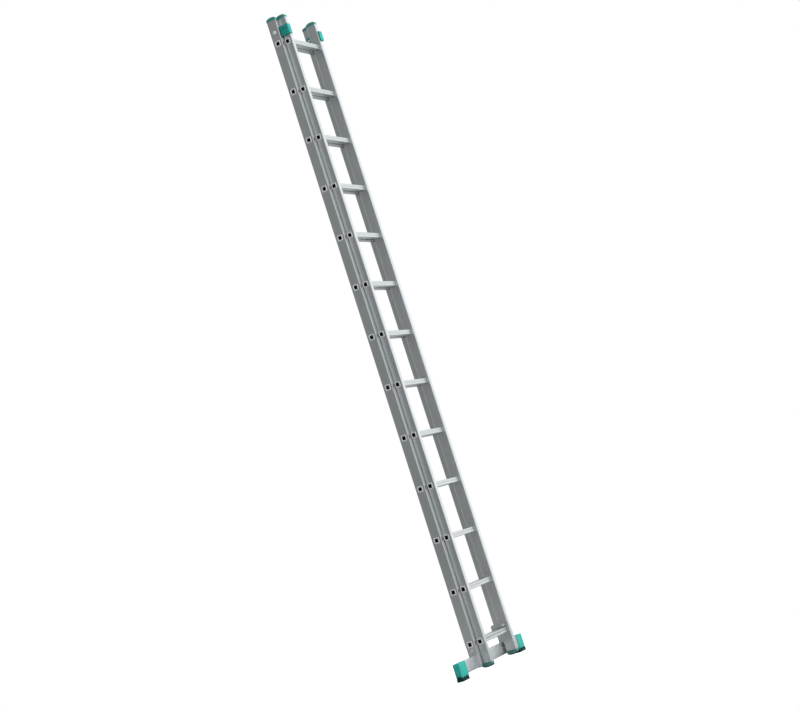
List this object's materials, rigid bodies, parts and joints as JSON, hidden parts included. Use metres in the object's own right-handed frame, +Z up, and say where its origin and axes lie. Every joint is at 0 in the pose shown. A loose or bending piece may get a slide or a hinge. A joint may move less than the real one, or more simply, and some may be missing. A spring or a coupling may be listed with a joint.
{
  "type": "extension ladder",
  "caption": "Two-section aluminium extension ladder: a front section slides up a rear one in top guides, with flip-up rung hooks and a wide stabilizer bar on rubber feet.",
  "frame": {"origin": "on the floor, at the middle of the ladder's width and depth", "axes": "+Z up the ladder, +X across it towards the right seen from the climber's side, +Y from the climber's side towards the wall; the ladder is upright and closed"},
  "size_m": [0.77, 0.1138, 3.6643],
  "materials": {
    "stile_aluminium": "mill-finish extruded aluminium with fine lengthwise drawing lines",
    "rung_aluminium": "satin extruded aluminium with lengthwise ribs",
    "bar_aluminium": "satin extruded aluminium",
    "hook_aluminium": "satin cut aluminium plate",
    "plain_steel": "bright zinc-plated steel",
    "teal_plastic": "fine-grained moulded plastic",
    "dark_teal_plastic": "fine-grained moulded plastic",
    "sole_rubber": "matt moulded rubber"
  },
  "bodies": {
    "base": {"base_stile_left": "stile_aluminium", "base_top_cap_left": "dark_teal_plastic", "guide_bracket_left": "dark_teal_plastic", "guide_bolt_left": "plain_steel", "stabilizer_cap_left": "teal_plastic", "stabilizer_sole_left": "sole_rubber", "bar_anchor_left": "bar_aluminium", "anchor_rivet_left": "plain_steel", "stabilizer_bolt_left": "plain_steel", "base_stile_right": "stile_aluminium", "base_top_cap_right": "dark_teal_plastic", "guide_bracket_right": "dark_teal_plastic", "guide_bolt_right": "plain_steel", "stabilizer_cap_right": "teal_plastic", "stabilizer_sole_right": "sole_rubber", "bar_anchor_right": "bar_aluminium", "anchor_rivet_right": "plain_steel", "stabilizer_bolt_right": "plain_steel", "stabilizer_bar": "bar_aluminium", "base_rung_01": "rung_aluminium", "base_rung_02": "rung_aluminium", "base_rung_03": "rung_aluminium", "base_rung_04": "rung_aluminium", "base_rung_05": "rung_aluminium", "base_rung_06": "rung_aluminium", "base_rung_07": "rung_aluminium", "base_rung_08": "rung_aluminium", "base_rung_09": "rung_aluminium", "base_rung_10": "rung_aluminium", "base_rung_11": "rung_aluminium", "base_rung_12": "rung_aluminium", "base_rung_13": "rung_aluminium"},
    "fly": {"fly_stile_left": "stile_aluminium", "fly_top_cap_left": "dark_teal_plastic", "fly_foot_left": "teal_plastic", "fly_foot_sole_left": "sole_rubber", "hook_pin_left": "plain_steel", "fly_stile_right": "stile_aluminium", "fly_top_cap_right": "dark_teal_plastic", "fly_foot_right": "teal_plastic", "fly_foot_sole_right": "sole_rubber", "hook_pin_right": "plain_steel", "fly_rung_01": "rung_aluminium", "fly_rung_02": "rung_aluminium", "fly_rung_03": "rung_aluminium", "fly_rung_04": "rung_aluminium", "fly_rung_05": "rung_aluminium", "fly_rung_06": "rung_aluminium", "fly_rung_07": "rung_aluminium", "fly_rung_08": "rung_aluminium", "fly_rung_09": "rung_aluminium", "fly_rung_10": "rung_aluminium", "fly_rung_11": "rung_aluminium", "fly_rung_12": "rung_aluminium", "fly_rung_13": "rung_aluminium"},
    "left_hook": {"rung_hook_left": "hook_aluminium"},
    "right_hook": {"rung_hook_right": "hook_aluminium"}
  },
  "joints": [
    {"name": "fly_slide", "type": "slide", "parent": "base", "child": "fly", "axis": [0, 0, 1], "range_m": [0, 2.52]},
    {"name": "left_hook_flip", "type": "hinge", "parent": "fly", "child": "left_hook", "pos_m": [-0.1369, -0.01965, 0.179], "axis": [1, 0, 0], "range_deg": [0, 105]},
    {"name": "right_hook_flip", "type": "hinge", "parent": "fly", "child": "right_hook", "pos_m": [0.1369, -0.01965, 0.179], "axis": [1, 0, 0], "range_deg": [0, 105]}
  ]
}
